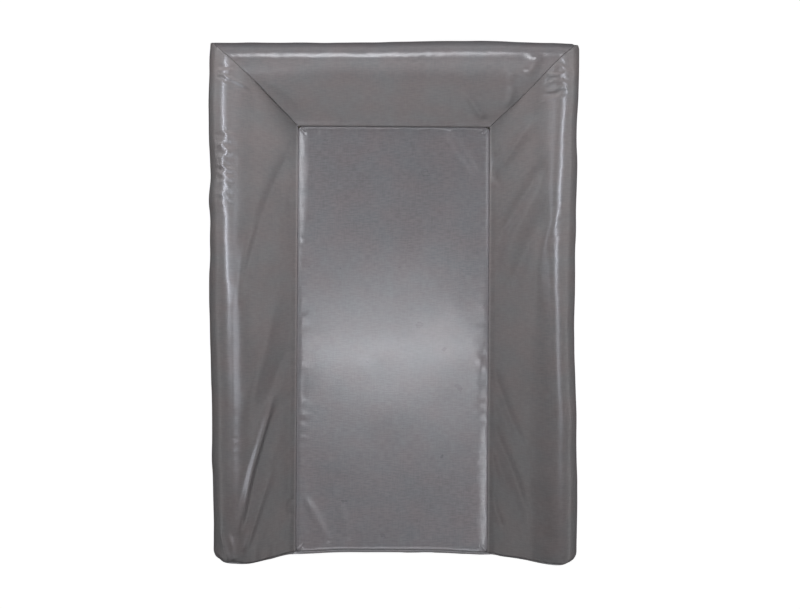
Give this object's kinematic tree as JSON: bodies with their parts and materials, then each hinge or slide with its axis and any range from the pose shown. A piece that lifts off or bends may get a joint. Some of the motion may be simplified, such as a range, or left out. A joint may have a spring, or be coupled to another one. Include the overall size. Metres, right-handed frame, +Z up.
{
  "type": "changing pad",
  "caption": "Contoured soft changing pad with three raised wedge sides, a flat padded lying panel and an open foot end, in a sewn coated-fabric cover.",
  "frame": {"origin": "middle of the underside, on the floor plane", "axes": "+Z up, +Y towards the raised head side, +X to the right seen from the open foot end"},
  "size_m": [0.5, 0.7, 0.092],
  "materials": {
    "coated_fabric": "semi-gloss",
    "foam": "matte",
    "wadding": "matte",
    "thread": "satin"
  },
  "bodies": {
    "root": {"centre_panel": "coated_fabric", "head_panel": "coated_fabric", "left_side_panel": "coated_fabric", "right_side_panel": "coated_fabric", "foot_end_panel": "coated_fabric", "underside_panel": "coated_fabric", "base_foam": "foam", "centre_foam": "foam", "centre_wadding": "wadding", "head_wedge_foam": "foam", "left_wedge_foam": "foam", "right_wedge_foam": "foam", "centre_seam_thread": "thread", "left_mitre_thread": "thread", "right_mitre_thread": "thread", "foot_seam_thread": "thread", "base_seam_thread": "thread"}
  },
  "joints": []
}
